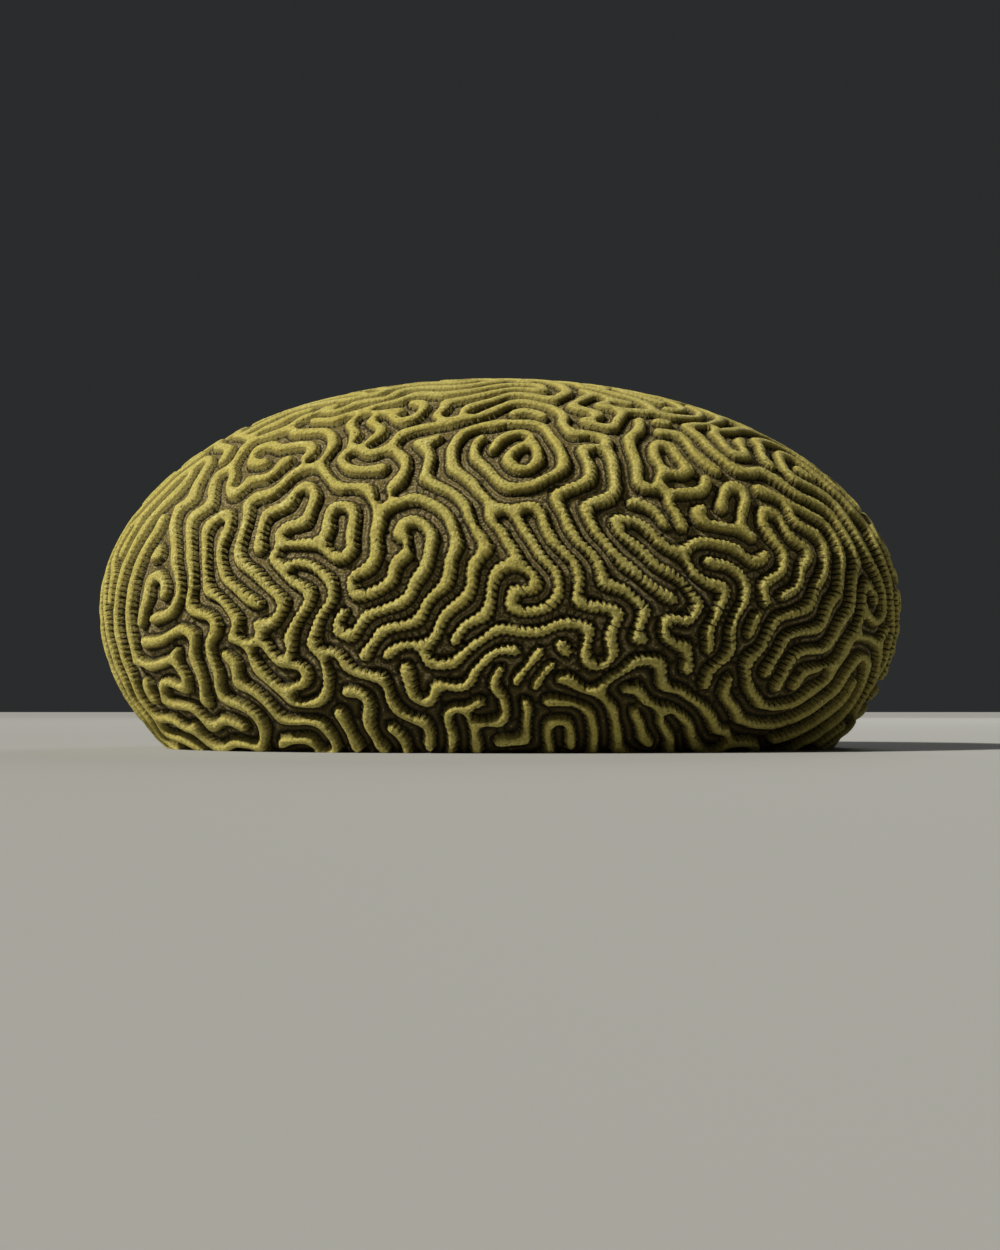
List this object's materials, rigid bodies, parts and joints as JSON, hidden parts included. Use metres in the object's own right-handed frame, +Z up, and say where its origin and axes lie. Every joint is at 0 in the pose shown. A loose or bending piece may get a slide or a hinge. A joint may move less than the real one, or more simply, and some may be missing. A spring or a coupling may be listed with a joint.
{
  "type": "brain coral head",
  "caption": "Domed brain coral head, an oval colony covered in winding rounded ridges and grooves, cut flat underneath so that it stands.",
  "frame": {"origin": "on the flat cut that it stands on, under the middle of the envelope's length and depth", "axes": "+Z up from the flat cut to the crown, +X along the length, -Y towards the front"},
  "size_m": [0.2194, 0.1414, 0.101],
  "materials": {
    "coral_skeleton": "matte"
  },
  "bodies": {
    "root": {"coral_head": "coral_skeleton"}
  },
  "joints": []
}
